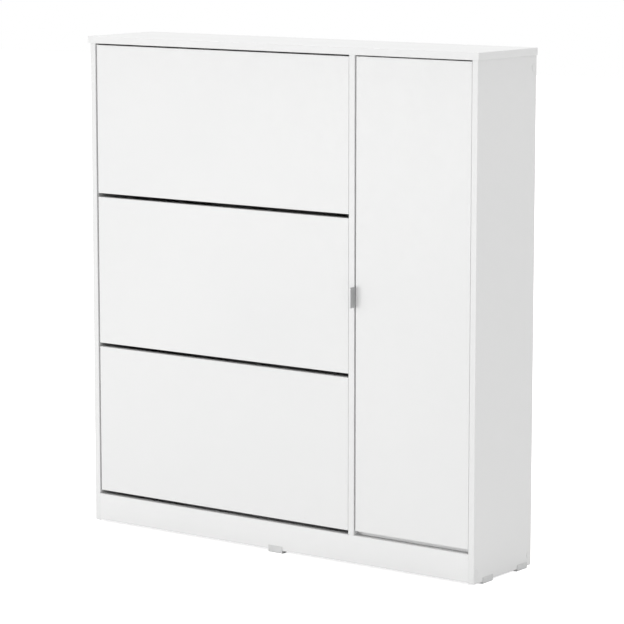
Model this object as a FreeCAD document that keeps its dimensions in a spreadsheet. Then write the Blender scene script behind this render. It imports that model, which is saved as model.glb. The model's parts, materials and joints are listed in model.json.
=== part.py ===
import FreeCAD, Part
import math
import os
import re

import Sketcher

# Tall, shallow shoe cabinet: three tilting flaps beside one full-height door.
# +X is to the right of someone facing the fronts, -Y points out of the fronts, +Z is up.
# The origin lies on the floor, at the middle of the cabinet's outer box.

doc = FreeCAD.newDocument("ShoeCabinet")
sheet = doc.addObject("Spreadsheet::Sheet", "Dimensions")

driving_dimensions = [
    # carcass
    ("cabinet_width", 1104, "across the outer faces of the side panels"),
    ("cabinet_height", 1180, "from the foot of the side panels to the top"),
    ("panel_depth", 238, "side panels, front edge to rear edge"),
    ("board", 15, "thickness of the carcass boards"),
    ("top_board", 17, "thickness of the top panel"),
    ("top_side_overhang", 4.5, "top panel past each side panel"),
    ("top_front_overhang", 4.5, "top panel past the side panels' front edges"),
    ("back_sheet", 3, "thickness of the two rear sheets"),
    ("sheet_play", 0.5, "between a rear sheet and the piece beside it"),
    ("rebate", 8, "rebate for the rear sheet in each side panel"),
    ("edge_round", 0.8, "rounding of the banded board edges"),
    ("plinth_height", 65, "plinth and lower rear rail"),
    ("plinth_lift", 2, "plinth's lower edge above the side panels' lower edges"),
    ("upper_rail_height", 70, "upper rear rail"),
    ("notch_play", 0.2, "round a rail in the divider's notches"),
    ("door_bay", 313, "clear width behind the door"),
    # fronts
    ("front_board", 16, "thickness of the flaps and the door"),
    ("front_recess", 1.5, "fronts behind the side panels' front edges"),
    ("flap_gap", 3.75, "left of a flap"),
    ("flap_close_gap", 2, "right of a flap"),
    ("top_gap", 4, "over the highest flap"),
    ("swing_gap", 9.5, "under each flap, for its swinging lower edge"),
    ("door_gap", 3.5, "left of the door"),
    ("hinge_gap", 1.5, "right of the door"),
    ("door_top_gap", 3, "over the door"),
    ("door_foot_gap", 11, "under the door"),
    # flap mechanism
    ("pivot_gap", 7, "flap pivot behind the flap's rear face"),
    ("pivot_rise", 37, "flap pivot over the flap's lower edge"),
    ("pivot_pin", 8, "diameter of a pivot pin"),
    ("pivot_collar", 13, "diameter of a pivot pin's collar"),
    ("pin_seat", 10, "length of a pin inside its board"),
    ("pin_tip", 2, "length of a pivot pin past its bracket"),
    ("stop_pin", 6, "diameter of a stop pin"),
    ("stop_radius", 122, "stop pin from the pivot"),
    ("stop_angle", 84, "direction of the closed stop, from the rear towards the top, degrees"),
    ("flap_travel", 42, "tilt of a flap from closed to open, degrees"),
    ("running_fit", 0.05, "radial clearance of a turning pin"),
    ("slot_play", 0.3, "radial clearance of the stop pin in its slot"),
    ("bracket_inset", 1.5, "left bracket inside the flap's end"),
    ("bracket_wall", 3, "thickness of a flap bracket"),
    ("bracket_flange", 20, "width of a bracket's flange along the flap"),
    ("bracket_foot", 9, "bracket's lower edge over the flap's lower edge"),
    ("bracket_drop", 54.5, "bracket flange's upper end under the flap's upper edge"),
    ("bracket_margin", 4, "bracket wall past the rack plates"),
    ("rack_drop", 82.5, "top of the rear rack plate under the flap's upper edge"),
    ("rack_gap", 13.5, "rear face of the rack before the rear rails"),
    ("rack_sheet", 3, "thickness of the rack plates"),
    ("front_row", 84, "depth of the front row of shoes"),
    ("front_row_floor", 16, "underside of the front row's floor over the flap's lower edge"),
    ("rear_row_floor", 98, "underside of the rear row's floor over the flap's lower edge"),
    ("partition_drop", 149.5, "top of the rack partition under the flap's upper edge"),
    ("guide_rib", 6, "reach of the bracket ribs that hold the rack plates"),
    ("rib_wall", 2, "thickness of those ribs"),
    ("rib_inset", 9, "ribs shorter than their plate, at each end"),
    # door fittings
    ("cup_diameter", 35, "hinge cup"),
    ("cup_depth", 12, "hinge cup in the door"),
    ("cup_offset", 22, "cup centre from the door's hinge edge"),
    ("cup_wall", 1, "wall of the hinge cup"),
    ("hinge_margin", 95, "outer hinges from the door's ends"),
    ("arm_height", 12, "hinge arm"),
    ("handle_reach", 20, "handle tab past the door's face"),
    ("handle_height", 47, "handle tab"),
    ("handle_sheet", 2, "thickness of the handle tab"),
    ("handle_level", 623, "middle of the handle tab over the floor"),
    ("handle_flange", 16, "handle tab's flange along the door's rear face"),
    # door bay
    ("shelf_count", 4, "adjustable shelves"),
    ("shelf_play", 1, "between a shelf's end and its wall"),
    ("shelf_setback", 8, "shelf behind the door's rear face"),
    ("shelf_pin", 5, "diameter of a shelf pin"),
    ("shelf_pin_reach", 9, "shelf pin, in its board and out of it"),
    ("shelf_hole_pitch", 32, "between shelf pin holes"),
    # feet and fasteners
    ("foot_raise", 5, "foot glide under the side panel"),
    ("glide_width", 40, "foot glide along its board"),
    ("glide_wall", 1.5, "foot glide's upright walls"),
    ("glide_wall_height", 10, "foot glide's walls up the board"),
    ("front_glide_offset", 37, "front glide from the panel's front edge"),
    ("rear_glide_gap", 0.5, "rear glide before the lower rear rail"),
    ("cap_diameter", 18, "cover cap"),
    ("cap_thickness", 0.8, "cover cap"),
    ("low_cap_rise", 25, "lower caps' centres over the side panel's foot"),
    ("high_cap_drop", 45, "upper caps' centres under the top"),
    ("wall_hole", 5.5, "diameter of the wall fixing holes"),
    ("wall_hole_spacing", 800, "between the wall fixing holes"),
    ("wall_hole_drop", 58, "wall fixing holes under the top"),
    ("fastener_fit", 0.05, "radial clearance round a driven fastener"),
]

aliases = set()
for row, (alias, size, note) in enumerate(driving_dimensions, start=1):
    sheet.set(f"A{row}", note)
    sheet.set(f"B{row}", str(size))
    sheet.setAlias(f"B{row}", alias)
    aliases.add(alias)
doc.recompute()


# ---- formulas ----

def cell(text):
    """Write the sheet's name before every alias in a formula."""
    return re.sub(r"[a-z][a-z_]*", lambda word: "Dimensions." + word.group()
                  if word.group() in aliases else word.group(), str(text))


def value(text):
    return float(sheet.evalExpression(str(text)))


def bind(item, **formulas):
    for prop, text in formulas.items():
        item.setExpression(prop, cell(text))


def place(item, x, y, z):
    for axis, text in zip("xyz", (x, y, z)):
        item.setExpression(f"Placement.Base.{axis}", cell(text))


def point(x, y, z):
    return FreeCAD.Vector(value(x), value(y), value(z))


# places that many pieces share
left_x = "(-cabinet_width/2)"
bay_x = f"({left_x} + board)"
divider_x = "(cabinet_width/2 - 2*board - door_bay)"
door_bay_x = f"({divider_x} + board)"
right_x = "(cabinet_width/2 - board)"
front_y = "(-(panel_depth + front_recess - handle_reach)/2)"
back_y = f"({front_y} + panel_depth - back_sheet)"
rail_y = f"({back_y} - board)"
face_y = f"({front_y} + front_recess)"
plinth_z = "(foot_raise + plinth_lift)"
plinth_top = f"({plinth_z} + plinth_height)"
floor_top = f"({plinth_top} + board)"
top_z = "(foot_raise + cabinet_height - top_board)"
inner_width = "(cabinet_width - 2*board)"
flap_width = f"({divider_x} - {bay_x} - flap_gap - flap_close_gap)"
flap_height = "((cabinet_height - top_board - top_gap - plinth_lift - plinth_height)/3 - swing_gap)"
door_x = f"({door_bay_x} + door_gap)"
door_width = "(door_bay - door_gap - hinge_gap)"
door_z = f"({plinth_top} + door_foot_gap)"
door_height = f"({top_z} - door_top_gap - {door_z})"
hinge_x = f"({door_x} + {door_width})"
door_rear_y = f"({face_y} + front_board)"
pivot_y = f"({door_rear_y} + pivot_gap)"

overcut = 1         # a cutting tool runs this far past a face
seat_play = 0.2     # between a fastener's end and the bottom of its hole

nodes = []


# ---- makers ----

def keep(item, label):
    item.Label = label
    nodes.append(item)
    return item


def origin_plane(body, role):
    return next(item for item in body.Origin.OriginFeatures if item.Role == role)


def new_sketch(body, name, plane):
    sketch = body.newObject("Sketcher::SketchObject", name)
    sketch.AttachmentSupport = (origin_plane(body, plane), [""])
    sketch.MapMode = "FlatFace"
    return sketch


def pin_point(sketch, geometry, end, across, up):
    """Hold one point of a sketch at two formulas from the sketch's origin."""
    for kind, text in (("DistanceX", across), ("DistanceY", up)):
        number = sketch.addConstraint(Sketcher.Constraint(kind, -1, 1, geometry, end, value(text)))
        sketch.setExpression(f"Constraints[{number}]", cell(text))


def polygon(body, plane, corners, name="Outline"):
    sketch = new_sketch(body, name, plane)
    points = [FreeCAD.Vector(value(a), value(b), 0) for a, b in corners]
    count = len(points)
    for i in range(count):
        sketch.addGeometry(Part.LineSegment(points[i], points[(i + 1) % count]), False)
    for i in range(count):
        sketch.addConstraint(Sketcher.Constraint("Coincident", i, 2, (i + 1) % count, 1))
    for i, (a, b) in enumerate(corners):
        pin_point(sketch, i, 1, a, b)
    return sketch


def prism(name, plane, corners, length, low, rounding=None):
    """A body padded from a polygon, along +X, +Y or +Z; low is the sketch origin's place."""
    body = doc.addObject("PartDesign::Body", name)
    pad = body.newObject("PartDesign::Pad", "Thickness")
    pad.Profile = polygon(body, plane, corners)
    pad.Reversed = plane == "XZ_Plane"
    bind(pad, Length=length)
    if rounding:
        doc.recompute()
        fillet = body.newObject("PartDesign::Fillet", "EdgeBand")
        fillet.Base = (pad, ["Edge1"])
        fillet.UseAllEdges = True
        bind(fillet, Radius=rounding)
    place(body, *low)
    return body


def board(name, low, size, rounding=None):
    """A flat board: a rectangle padded upwards."""
    width, depth, height = size
    corners = [("0", "0"), (width, "0"), (width, depth), ("0", depth)]
    return prism(name, "XY_Plane", corners, height, low, rounding)


def block(name, low, size):
    item = doc.addObject("Part::Box", name)
    bind(item, Length=size[0], Width=size[1], Height=size[2])
    place(item, *low)
    return item


turns = {
    "+X": FreeCAD.Rotation(FreeCAD.Vector(0, 1, 0), 90),
    "-X": FreeCAD.Rotation(FreeCAD.Vector(0, 1, 0), -90),
    "+Y": FreeCAD.Rotation(FreeCAD.Vector(1, 0, 0), -90),
    "-Y": FreeCAD.Rotation(FreeCAD.Vector(1, 0, 0), 90),
    "+Z": FreeCAD.Rotation(),
}


def rod(name, start, direction, diameter, length):
    item = doc.addObject("Part::Cylinder", name)
    item.Placement.Rotation = turns[direction]
    bind(item, Radius=f"({diameter})/2", Height=length)
    place(item, *start)
    return item


def join(name, pieces):
    item = doc.addObject("Part::MultiFuse", name)
    item.Shapes = pieces
    return item


def cut(name, base, tool):
    item = doc.addObject("Part::Cut", name)
    item.Base = base
    item.Tool = tool
    return item


def turned(profile, start, direction):
    """A solid of revolution from (radius, height) pairs, standing at start."""
    corners = [FreeCAD.Vector(radius, 0, height) for radius, height in profile]
    face = Part.Face(Part.makePolygon(corners + corners[:1]))
    solid = face.revolve(FreeCAD.Vector(), FreeCAD.Vector(0, 0, 1), 360)
    solid.Placement = FreeCAD.Placement(start, turns[direction])
    return solid


def group(label, solids):
    """Identical fasteners share one node, as separate solids."""
    item = doc.addObject("Part::Feature", label)
    item.Shape = Part.makeCompound(solids)
    return keep(item, label)


def fitted(diameter):
    return f"({diameter} + 2*fastener_fit)"


def drill(name, family, diameter, length):
    """Hole tools for a family of fasteners, each with a start and a direction."""
    return [rod(f"{name}_{i}", start, direction, fitted(diameter), length)
            for i, (start, direction) in enumerate(family)]


# ---- where the fasteners go: each has a start and a direction ----

upright_x = [f"({left_x} + board/2)", f"({divider_x} + board/2)", f"({right_x} + board/2)"]
cam_front_inset = 45
cam_rear_inset = 40
dowel_pitch = 32    # from a cam fitting to the dowel beside it
joint_y = [f"({front_y} + {cam_front_inset})", f"({rail_y} - {cam_rear_inset})"]
dowel_y = [f"({front_y} + {cam_front_inset} + {dowel_pitch})",
           f"({rail_y} - {cam_rear_inset} - {dowel_pitch})"]

# connecting screws through the side panels into the plinth and the rear rails
screw_length = 48
screw_diameter = 6
screw_head = 9
screw_head_depth = 3
screw_low_z = "(foot_raise + low_cap_rise)"
screw_high_z = "(foot_raise + cabinet_height - high_cap_drop)"
rail_mid_y = f"({rail_y} + board/2)"
cap_front_y = f"({front_y} + edge_round + cap_diameter/2)"    # the cap clears the rounded front edge
screw_places = [(cap_front_y, screw_low_z), (rail_mid_y, screw_low_z), (rail_mid_y, screw_high_z)]
outer_faces = [(left_x, "+X", "-X"), (f"({right_x} + board)", "-X", "+X")]
carcass_screws = [((x, y, z), inward) for x, inward, _ in outer_faces for y, z in screw_places]
cap_places = [((x, y, z), outward) for x, _, outward in outer_faces for y, z in screw_places]

# cam fittings under the top panel
cam_diameter = 15
cam_length = 12.5
cam_drop = 34
cam_play = 0.3
cam_bolt = 7
cam_bolt_in_top = 11
cam_z = f"({top_z} - {cam_drop})"
cam_bolt_z = f"({cam_z} + {cam_diameter}/2 + {cam_play})"
cam_bolt_length = cam_drop + cam_bolt_in_top - cam_diameter / 2 - cam_play
cams = [((x, y, cam_z), inward) for x, inward in
        ((bay_x, "-X"), (door_bay_x, "-X"), (right_x, "+X")) for y in joint_y]
cam_bolts = [((x, y, cam_bolt_z), "+Z") for x in upright_x for y in joint_y]

# dowels: uprights to the top, divider to the plinth and rails, bottom board to its uprights
dowel = 8
dowel_length = 30
dowel_bevel = 1
dowel_in_top = 11
dowel_in_rail = 8
dowel_in_upright = 10
dowel_edge = 15     # from the edges of the plinth and the rails
high_dowel_edge = 25
rail_dowel_edge = 12
dowels = [((x, y, f"{top_z} + {dowel_in_top} - {dowel_length}"), "+Z") for x in upright_x for y in dowel_y]
plinth_levels = [f"({plinth_z} + {dowel_edge})", f"({plinth_z} + plinth_height - {high_dowel_edge})"]
dowels += [((upright_x[1], f"{front_y} + board - {dowel_in_rail}", z), "+Y") for z in plinth_levels]
rail_levels = plinth_levels + [f"({top_z} - {dowel_edge})",
                               f"({top_z} - upper_rail_height + {rail_dowel_edge})"]
dowels += [((upright_x[1], f"{rail_y} + {dowel_in_rail} - {dowel_length}", z), "+Y") for z in rail_levels]
floor_mid_z = f"({plinth_top} + board/2)"
for y in dowel_y:
    dowels += [((f"{door_bay_x} - {dowel_in_upright}", y, floor_mid_z), "+X"),
               ((f"{right_x} + {dowel_in_upright}", y, floor_mid_z), "-X")]

# flap pivots and stops, in the left side panel and the divider
flap_names = ["bottom", "middle", "top"]
pin_faces = [(f"({bay_x} - pin_seat)", "+X"), (f"({divider_x} + pin_seat)", "-X")]


def flap_z(index):
    return f"({plinth_top} + swing_gap + {index}*({flap_height} + swing_gap))"


def pivot_z(index):
    return f"({flap_z(index)} + pivot_rise)"


stop_y = f"({pivot_y} + stop_radius*cos(stop_angle*1deg))"
stop_rise = "(stop_radius*sin(stop_angle*1deg))"
pivot_pins = [((x, pivot_y, pivot_z(i)), inward) for i in range(3) for x, inward in pin_faces]
stop_pins = [((x, stop_y, f"{pivot_z(i)} + {stop_rise}"), inward)
             for i in range(3) for x, inward in pin_faces]

# shelf pins; each shelf may also hang one hole higher or lower
shelf_numbers = range(int(value("shelf_count")))
shelf_pitch = f"(({top_z} - {floor_top} + board)/(shelf_count + 1))"
shelf_y = f"({door_rear_y} + shelf_setback)"
shelf_depth = f"({back_y} - shelf_play - {shelf_y})"
shelf_pin_inset = 32
shelf_columns = [f"({shelf_y} + {shelf_pin_inset})",
                 f"({shelf_y} + {shelf_depth} - shelf_play - {shelf_pin_inset})"]
shelf_faces = [(f"({door_bay_x} - shelf_pin_reach)", "+X"), (f"({right_x} + shelf_pin_reach)", "-X")]


def shelf_z(index):
    return f"({floor_top} + {index + 1}*{shelf_pitch} - board)"


def shelf_pin_places(step):
    return [((x, y, f"{shelf_z(i)} - shelf_pin/2 - fastener_fit + {step}*shelf_hole_pitch"), inward)
            for i in shelf_numbers for x, inward in shelf_faces for y in shelf_columns]


# hinges: cups in the door, arms on plates on the right side panel
hinge_levels = [f"({door_z} + hinge_margin)", f"({door_z} + {door_height}/2)",
                f"({door_z} + {door_height} - hinge_margin)"]
cup_x = f"({hinge_x} - cup_offset)"
plate_sheet = 4     # hinge plate off the side panel
plate_x = f"({right_x} - {plate_sheet})"
plate_offset = 28   # plate's middle behind the door's rear face
plate_y = f"({door_rear_y} + {plate_offset})"
plate_depth = 28
plate_height = 48
plate_screw = 4
plate_screw_length = 14
plate_screw_sink = 2.1
plate_screw_rise = 16
plate_screws = [((plate_x, plate_y, f"{z} + {sign * plate_screw_rise}"), "+X")
                for z in hinge_levels for sign in (-1, 1)]
small_screw = 3.5
small_screw_length = 12
small_screw_play = 0.3
small_screw_sink = 2
small_screw_point = 2
cup_flange_sheet = 1.2
cup_flange_width = 24
cup_flange_end = 6  # flange past the middle of its screw
cup_screw_gap = 6.5
cup_screw_rise = value(f"cup_diameter/2 + {cup_screw_gap}")
handle_screw_rise = 14
handle_x = f"({door_x} + handle_flange/2)"
door_screws = [((cup_x, f"{door_rear_y} + {cup_flange_sheet}", f"{z} + {sign * cup_screw_rise}"), "-Y")
               for z in hinge_levels for sign in (-1, 1)]
door_screws += [((handle_x, f"{door_rear_y} + handle_sheet", f"handle_level + {rise}"), "-Y")
                for rise in (-handle_screw_rise, handle_screw_rise)]

# foot glides and their nails
glide_nail = 2.2
glide_nail_head = 4.6
glide_nail_head_height = 0.9
glide_nail_seat = 5
glide_nail_length = 22
glide_nail_z = 1
glide_bevel = 1.5
side_glide_y = [f"({front_y} + front_glide_offset)",
                f"({rail_y} - rear_glide_gap - glide_width)"]
side_glides = [(x, y) for x in (left_x, right_x) for y in side_glide_y]
rail_glides = [("(-glide_width/2)", front_y), ("(-glide_width/2)", rail_y)]
glide_nails = [((f"{x} + board/2", f"{y} + glide_width/2", glide_nail_z), "+Z") for x, y in side_glides]
glide_nails += [((f"{x} + glide_width/2", f"{y} + board/2", glide_nail_z), "+Z") for x, y in rail_glides]

# wall fixing holes through the upper rail and the rear sheets
wall_hole_z = "(foot_raise + cabinet_height - wall_hole_drop)"
wall_holes = [((f"{side}*wall_hole_spacing/2", f"{rail_y} - {overcut}", wall_hole_z), "+Y")
              for side in (-1, 1)]

# nails round the rear sheets
sheet_nail = 1.6
sheet_nail_head = 3.6
sheet_nail_head_height = 0.5
sheet_nail_length = 16
sheet_nail_rows = 8
nail_corner = 12    # from a sheet's sides to the outer nails of its upper and lower rows
nail_edge = 3.5     # from a sheet's sides to the nails up them
nail_low = 16       # lower row under the plinth's top
nail_high = 7       # upper row over the top panel's underside
sheet_margin = 4    # over the rear foot glide, and under the top
sheet_rear_y = f"({back_y} + back_sheet)"
sheet_low_z = f"({plinth_z} + glide_wall_height + {sheet_margin})"
sheet_high_z = f"({top_z} + top_board - {sheet_margin})"
sheet_edges = [(f"({bay_x} - rebate + sheet_play)", f"({divider_x} + board/2 - sheet_play/2)", 6),
               (f"({divider_x} + board/2 + sheet_play/2)", f"({right_x} + rebate - sheet_play)", 3)]
sheet_nails = []
for low_x, high_x, count in sheet_edges:
    for i in range(count):
        x = f"{low_x} + {nail_corner} + {i}*({high_x} - {low_x} - {2 * nail_corner})/{count - 1}"
        sheet_nails += [((x, sheet_rear_y, z), "-Y")
                        for z in (f"{plinth_top} - {nail_low}", f"{top_z} + {nail_high}")]
    for i in range(1, sheet_nail_rows):
        z = f"{plinth_top} + {i}*({top_z} - {plinth_top})/{sheet_nail_rows}"
        sheet_nails += [((x, sheet_rear_y, z), "-Y")
                        for x in (f"{low_x} + {nail_edge}", f"{high_x} - {nail_edge}")]


# ---- carcass ----

hole_play = 0.5     # a pilot hole is this much deeper than its screw or nail
cup_play = 0.2
head_play = 0.1
drilling = drill("screw_hole", carcass_screws, screw_diameter, screw_length + hole_play)
drilling += drill("screw_seat", carcass_screws, screw_head, screw_head_depth + head_play)
drilling += drill("cam_hole", cams, cam_diameter, cam_length + head_play)
drilling += drill("cam_bolt_hole", cam_bolts, cam_bolt, cam_bolt_length + hole_play)
drilling += drill("dowel_hole", dowels, dowel, dowel_length)
drilling += drill("pivot_hole", pivot_pins, "pivot_pin", "pin_seat")
drilling += drill("stop_hole", stop_pins, "stop_pin", "pin_seat")
for step in (-1, 0, 1):
    drilling += drill(f"shelf_hole_{step + 1}", shelf_pin_places(step), "shelf_pin", "shelf_pin_reach")
drilling += drill("plate_screw_hole", plate_screws, plate_screw, plate_screw_length + hole_play)
drilling += drill("glide_nail_hole", glide_nails, glide_nail, glide_nail_length + hole_play)
drilling += [rod(f"wall_hole_{i}", start, way, "wall_hole", f"board + back_sheet + {2 * overcut}")
             for i, (start, way) in enumerate(wall_holes)]
drilling += drill("sheet_nail_hole", sheet_nails, sheet_nail, sheet_nail_length + hole_play)
drilling += drill("sheet_nail_seat", sheet_nails, sheet_nail_head, sheet_nail_head_height)
rebate_size = ("rebate", f"back_sheet + {overcut}", top_z)
drilling += [block(f"rebate_{i}", (x, back_y, "0"), rebate_size)
             for i, x in enumerate((f"({bay_x} - rebate)", right_x))]
carcass_drilling = join("carcass_drilling", drilling)


def drilled(label, blank):
    return keep(cut(f"{label}_drilled", blank, carcass_drilling), label)


side_size = ("board", "panel_depth", f"{top_z} - foot_raise")
for label, x in (("side_panel_left", left_x), ("side_panel_right", right_x)):
    drilled(label, board(f"{label}_blank", (x, front_y, "foot_raise"), side_size, "edge_round"))

top_low = (f"{left_x} - top_side_overhang", f"{front_y} - top_front_overhang", top_z)
top_size = ("cabinet_width + 2*top_side_overhang", f"{back_y} - {front_y} + top_front_overhang",
            "top_board")
drilled("top_panel", board("top_panel_blank", top_low, top_size, "edge_round"))

# the divider is notched round the plinth and the two rear rails
divider_rear = f"({back_y} - {front_y})"
notch_y = f"({divider_rear} - board - notch_play)"
low_notch_z = "(plinth_height + notch_play)"
divider_top = f"({top_z} - {plinth_z})"
high_notch_z = f"({divider_top} - upper_rail_height - notch_play)"
divider_corners = [
    ("board + notch_play", "0"), (notch_y, "0"), (notch_y, low_notch_z), (divider_rear, low_notch_z),
    (divider_rear, high_notch_z), (notch_y, high_notch_z), (notch_y, divider_top),
    ("0", divider_top), ("0", low_notch_z), ("board + notch_play", low_notch_z),
]
drilled("divider_panel", prism("divider_blank", "YZ_Plane", divider_corners, "board",
                               (divider_x, front_y, plinth_z)))

bottom_gap = 1      # bottom board behind the door
drilled("plinth_board", board("plinth_blank", (bay_x, front_y, plinth_z),
                              (inner_width, "board", "plinth_height")))
drilled("rear_rail_lower", board("lower_rail_blank", (bay_x, rail_y, plinth_z),
                                 (inner_width, "board", "plinth_height")))
drilled("rear_rail_upper", board("upper_rail_blank", (bay_x, rail_y, f"{top_z} - upper_rail_height"),
                                 (inner_width, "board", "upper_rail_height")))
floor_y = f"({door_rear_y} + {bottom_gap})"
drilled("bottom_board", board("bottom_blank", (door_bay_x, floor_y, plinth_top),
                              ("door_bay", f"{back_y} - sheet_play - {floor_y}", "board")))
for label, (low_x, high_x, _) in zip(("rear_sheet_left", "rear_sheet_right"), sheet_edges):
    drilled(label, block(f"{label}_blank", (low_x, back_y, sheet_low_z),
                         (f"{high_x} - {low_x}", "back_sheet", f"{sheet_high_z} - {sheet_low_z}")))

for i in shelf_numbers:
    label = f"shelf_{i + 1}"
    keep(board(label, (f"{door_bay_x} + shelf_play", shelf_y, shelf_z(i)),
               ("door_bay - 2*shelf_play", shelf_depth, "board"), "edge_round"), label)


# ---- feet ----

def glide_profile(rise):
    """A channel that the board stands in, with its lower corners bevelled."""
    wall = "glide_wall"
    high = f"{rise} + glide_wall_height"
    return [("-glide_wall", glide_bevel), ("0", "0"), ("board", "0"), (f"board + {wall}", glide_bevel),
            (f"board + {wall}", high), ("board", high), ("board", rise), ("0", rise),
            ("0", high), ("-glide_wall", high)]


def nailed_glides(label, blanks):
    compound = doc.addObject("Part::Compound", f"{label}_blanks")
    compound.Links = blanks
    holes = drill(f"{label}_nail", glide_nails, glide_nail, glide_nail_length)
    seats = [((x, y, -overcut), way) for (x, y, _), way in glide_nails]
    holes += drill(f"{label}_head", seats, glide_nail_seat, 2 * overcut + glide_nail_z)
    keep(cut(f"{label}_drilled", compound, join(f"{label}_holes", holes)), label)


nailed_glides("side_foot_glides", [
    prism(f"side_glide_{i}", "XZ_Plane", glide_profile("foot_raise"), "glide_width", (x, y, "0"))
    for i, (x, y) in enumerate(side_glides)])
nailed_glides("rail_foot_glides", [
    prism(f"rail_glide_{i}", "YZ_Plane", glide_profile(plinth_z), "glide_width", (x, y, "0"))
    for i, (x, y) in enumerate(rail_glides)])


# ---- carcass fasteners ----

def fasteners(label, family, profile):
    group(label, [turned(profile, point(*start), way) for start, way in family])


screw_sunk = 0.4    # screw head under the board's face
screw_rim = 1
screw_point = 4
fasteners("carcass_screws", carcass_screws, [
    (0, screw_sunk), (screw_head / 2, screw_sunk), (screw_head / 2, screw_rim),
    (screw_diameter / 2, screw_head_depth), (screw_diameter / 2, screw_length - screw_point),
    (0, screw_length)])
cap_radius = value("cap_diameter") / 2
cap_height = value("cap_thickness")
fasteners("cover_caps", cap_places, [
    (0, 0), (cap_radius, 0), (cap_radius, cap_height / 2), (cap_radius - 1, cap_height), (0, cap_height)])
fasteners("cam_locks", cams, [
    (0, seat_play), (cam_diameter / 2, seat_play), (cam_diameter / 2, cam_length), (0, cam_length)])
cam_bolt_head = 2
cam_bolt_neck = cam_bolt / 2 - 1
cam_bolt_thread = cam_bolt_length - cam_bolt_in_top
fasteners("cam_bolts", cam_bolts, [
    (0, 0), (cam_bolt / 2, 0), (cam_bolt / 2, cam_bolt_head), (cam_bolt_neck, cam_bolt_head + 1),
    (cam_bolt_neck, cam_bolt_thread), (cam_bolt / 2, cam_bolt_thread), (cam_bolt / 2, cam_bolt_length),
    (0, cam_bolt_length)])
dowel_play = 0.3    # at each end of a dowel
dowel_end = dowel_length - dowel_play
fasteners("dowels", dowels, [
    (0, dowel_play), (dowel / 2 - dowel_bevel, dowel_play), (dowel / 2, dowel_play + dowel_bevel),
    (dowel / 2, dowel_end - dowel_bevel), (dowel / 2 - dowel_bevel, dowel_end), (0, dowel_end)])
sheet_nail_point = 2
fasteners("sheet_nails", sheet_nails, [
    (0, 0), (sheet_nail_head / 2, 0), (sheet_nail_head / 2, sheet_nail_head_height),
    (sheet_nail / 2, sheet_nail_head_height), (sheet_nail / 2, sheet_nail_length - sheet_nail_point),
    (0, sheet_nail_length)])
glide_nail_point = 3
fasteners("glide_nails", glide_nails, [
    (0, 0), (glide_nail_head / 2, 0), (glide_nail_head / 2, glide_nail_head_height),
    (glide_nail / 2, glide_nail_head_height), (glide_nail / 2, glide_nail_length - glide_nail_point),
    (0, glide_nail_length)])
pin_radius = value("shelf_pin") / 2
pin_length = 2 * value("shelf_pin_reach")
pin_bevel = 0.5
pin_point_bevel = 0.6
fasteners("shelf_pins", shelf_pin_places(0), [
    (0, seat_play), (pin_radius - pin_bevel, seat_play), (pin_radius, seat_play + pin_bevel),
    (pin_radius, pin_length - pin_point_bevel), (pin_radius - pin_point_bevel, pin_length),
    (0, pin_length)])

pin_seat = value("pin_seat")
bracket_gap = value("flap_gap + bracket_inset")
pin_end = pin_seat + bracket_gap + value("bracket_wall + pin_tip")
pivot_radius = value("pivot_pin/2")
collar_radius = value("pivot_collar/2")
collar_play = 0.3
collar_end = pin_seat + bracket_gap - collar_play
pivot_bevel = 0.8
fasteners("flap_pivot_pins", pivot_pins, [
    (0, seat_play), (pivot_radius, seat_play), (pivot_radius, pin_seat), (collar_radius, pin_seat),
    (collar_radius, collar_end), (pivot_radius, collar_end), (pivot_radius, pin_end - pivot_bevel),
    (pivot_radius - pivot_bevel, pin_end), (0, pin_end)])
# a stop pin ends inside its bracket's wall, so the rack plates swing past it
stop_sunk = 0.3
stop_end = pin_seat + bracket_gap + value("bracket_wall") - stop_sunk
stop_pin_radius = value("stop_pin/2")
fasteners("flap_stop_pins", stop_pins, [
    (0, seat_play), (stop_pin_radius, seat_play), (stop_pin_radius, stop_end - pivot_bevel),
    (stop_pin_radius - pivot_bevel, stop_end), (0, stop_end)])


# ---- flaps ----

flap_x = f"({bay_x} + flap_gap)"
plate_gap = "(bracket_inset + bracket_wall)"
rack_x = f"({flap_x} + {plate_gap})"
rack_width = f"({divider_x} - {bay_x} - 2*flap_gap - 2*{plate_gap})"
rack_rear = f"({rail_y} - rack_gap - {door_rear_y})"
rack_top = f"({flap_height} - rack_drop)"
partition_top = f"({flap_height} - partition_drop)"
bracket_top = f"({flap_height} - bracket_drop)"
bracket_corner = 6
bracket_through = f"({plate_gap} + guide_rib + {2 * overcut})"


def rack_plates(index):
    """Low corner and size of each rack plate, by the name it has in its flap."""
    z = flap_z(index)
    y = door_rear_y
    return {
        "front_floor": ((rack_x, f"{y} + bracket_wall", f"{z} + front_row_floor"),
                        (rack_width, "front_row - bracket_wall", "rack_sheet")),
        "partition": ((rack_x, f"{y} + front_row", f"{z} + front_row_floor"),
                      (rack_width, "rack_sheet", f"{partition_top} - front_row_floor")),
        "rear_floor": ((rack_x, f"{y} + front_row + rack_sheet", f"{z} + rear_row_floor"),
                       (rack_width, f"{rack_rear} - front_row - 2*rack_sheet", "rack_sheet")),
        "rear_plate": ((rack_x, f"{y} + {rack_rear} - rack_sheet", f"{z} + rear_row_floor"),
                       (rack_width, "rack_sheet", f"{rack_top} - rear_row_floor")),
    }


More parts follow.
